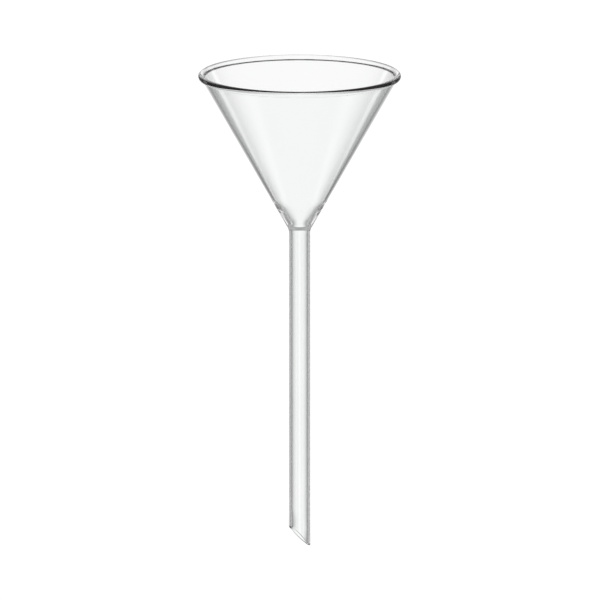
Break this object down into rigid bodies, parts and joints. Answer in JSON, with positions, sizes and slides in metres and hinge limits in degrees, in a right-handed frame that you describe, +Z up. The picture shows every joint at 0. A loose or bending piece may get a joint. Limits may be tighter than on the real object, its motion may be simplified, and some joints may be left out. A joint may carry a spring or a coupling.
{
  "type": "long-stem filter funnel",
  "caption": "Clear glass filter funnel: an open sixty-degree cone with a beaded rim on a long straight stem with a slanted tip.",
  "frame": {"origin": "on the funnel's axis at the throat, the level where the outside of the cone, carried on, meets the outside of the stem", "axes": "+Z up the axis, out of the mouth; +X towards the long side of the stem's slanted tip"},
  "size_m": [0.1, 0.1, 0.2383],
  "materials": {
    "clear_glass": "clear, smooth and fire-polished, faintly green-grey in thick places"
  },
  "bodies": {
    "root": {"rim_bead": "clear_glass", "cone_bowl": "clear_glass", "throat_seal": "clear_glass", "stem_tube": "clear_glass", "stem_tip": "clear_glass"}
  },
  "joints": []
}
